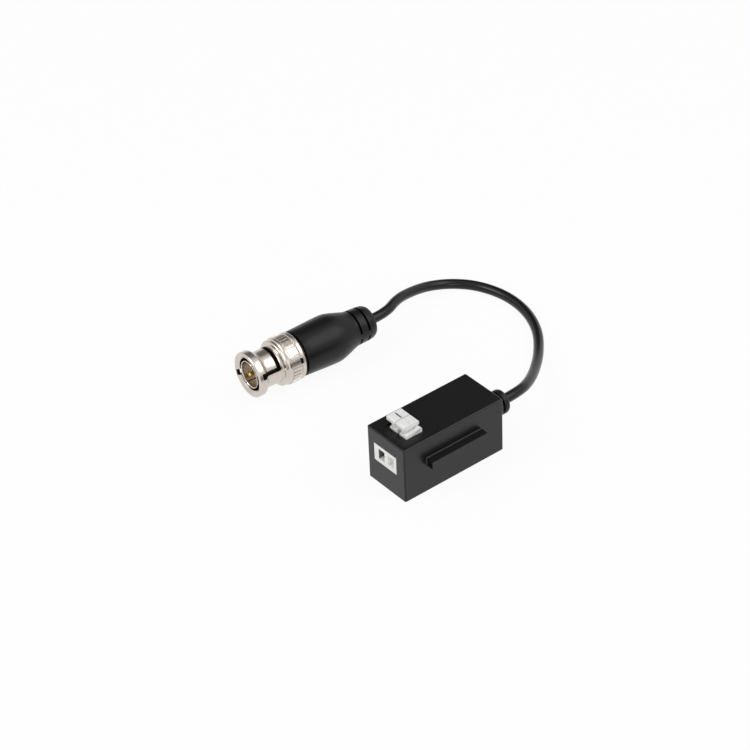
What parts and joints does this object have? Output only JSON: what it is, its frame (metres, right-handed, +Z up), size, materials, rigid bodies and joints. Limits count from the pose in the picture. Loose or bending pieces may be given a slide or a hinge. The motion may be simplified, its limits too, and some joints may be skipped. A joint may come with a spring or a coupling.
{
  "type": "video balun",
  "caption": "Small black box that joins a coaxial video lead to a wire pair: push-lever terminal in front, short lead with a bayonet plug behind.",
  "frame": {"origin": "middle of the box's underside, which rests on a surface", "axes": "+Z up, +Y along the box from the wire entries to the lead, +X towards the side with the spacing rail"},
  "size_m": [0.0814, 0.0948, 0.0222],
  "materials": {
    "black_case": "satin",
    "board_laminate": "satin",
    "ferrite": "matt",
    "copper_wire": "enamelled",
    "arrester_ceramic": "glazed",
    "white_plastic": "satin",
    "steel": "bright",
    "tinned_brass": "tinned",
    "black_vinyl": "satin",
    "nickel": "nickel plated",
    "gold_plate": "gold plated",
    "insulator_plastic": "plain",
    "seal_rubber": "matt"
  },
  "bodies": {
    "box": {"housing_cover": "black_case", "housing_base": "black_case", "circuit_board": "board_laminate", "ferrite_core": "ferrite", "winding_line": "copper_wire", "winding_cable": "copper_wire", "surge_arrester": "arrester_ceramic", "terminal_housing": "white_plastic", "lever_pin": "steel", "clamp_spring_left": "steel", "clamp_spring_right": "steel", "contact_bar_left": "tinned_brass", "contact_bar_right": "tinned_brass", "cable_gland": "black_vinyl", "cable": "black_vinyl", "contact_sleeve": "nickel", "centre_pin": "gold_plate", "insulator": "insulator_plastic", "plug_body": "nickel", "wave_washer": "steel", "gasket": "seal_rubber", "crimp_ferrule": "nickel", "plug_boot": "black_vinyl"},
    "left_lever": {"lever_left": "white_plastic"},
    "right_lever": {"lever_right": "white_plastic"},
    "bayonet_nut": {"coupling_nut": "nickel"}
  },
  "joints": [
    {"name": "left_lever_press", "type": "hinge", "parent": "box", "child": "left_lever", "pos_m": [-0.0024, -0.01005, 0.02], "axis": [1, 0, 0], "range_deg": [0, 12], "stiffness_Nm_per_rad": 0.02},
    {"name": "right_lever_press", "type": "hinge", "parent": "box", "child": "right_lever", "pos_m": [0.0018, -0.01005, 0.02], "axis": [1, 0, 0], "range_deg": [0, 12], "stiffness_Nm_per_rad": 0.02},
    {"name": "nut_turn", "type": "hinge", "parent": "box", "child": "bayonet_nut", "pos_m": [-0.06285, -0.02263, 0.0081], "axis": [0.0511, 0.9987, 0], "continuous": true}
  ]
}
